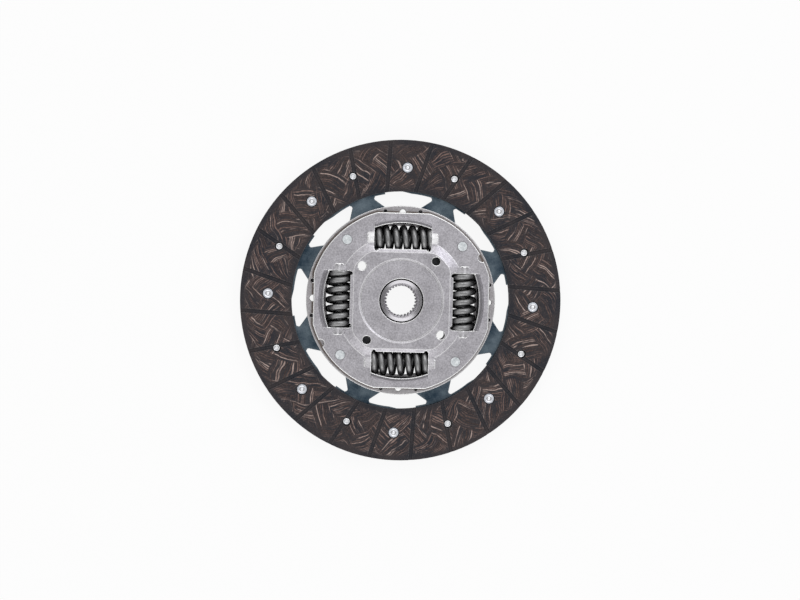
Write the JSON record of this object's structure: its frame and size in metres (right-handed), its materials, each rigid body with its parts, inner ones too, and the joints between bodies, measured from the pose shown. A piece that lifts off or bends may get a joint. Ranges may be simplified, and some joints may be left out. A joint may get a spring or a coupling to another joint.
{
  "type": "clutch disc",
  "caption": "Dry clutch friction disc: grooved facings riveted to a waved cushion sheet, with a coil-spring torsion damper between cover plates and a splined hub.",
  "frame": {"origin": "on the disc's axis, midway between the two friction facings", "axes": "+Z along the disc's axis, out of the side where the retainer plate is; +X through the middle of a spring window"},
  "size_m": [0.228, 0.228, 0.0256],
  "materials": {
    "facing": "matte",
    "rivet": "satin",
    "blued_steel": "satin",
    "cover_steel": "satin",
    "pin_steel": "satin",
    "friction_liner": "matte",
    "spring_steel": "satin",
    "bush_plastic": "matte",
    "hub_steel": "satin"
  },
  "bodies": {
    "plates": {"front_facing": "facing", "rear_facing": "facing", "front_facing_rivets": "rivet", "rear_facing_rivets": "rivet", "cushion_disc": "blued_steel", "drive_plate": "cover_steel", "retainer_plate": "cover_steel", "stop_pin_1": "pin_steel", "stop_pin_2": "pin_steel", "stop_pin_3": "pin_steel", "stop_pin_4": "pin_steel", "front_friction_ring": "friction_liner", "support_washer": "cover_steel", "belleville_spring": "spring_steel", "centring_bush": "bush_plastic", "damper_spring_1": "spring_steel", "damper_spring_2": "spring_steel", "damper_spring_3": "spring_steel", "damper_spring_4": "spring_steel"},
    "hub": {"hub": "hub_steel", "hub_flange": "hub_steel"}
  },
  "joints": [
    {"name": "damper_twist", "type": "hinge", "parent": "plates", "child": "hub", "pos_m": [0, 0, 0], "axis": [0, 0, 1], "range_deg": [-12, 8], "stiffness_Nm_per_rad": 60, "deforming": ["damper_spring_1", "damper_spring_2", "damper_spring_3", "damper_spring_4"]}
  ]
}
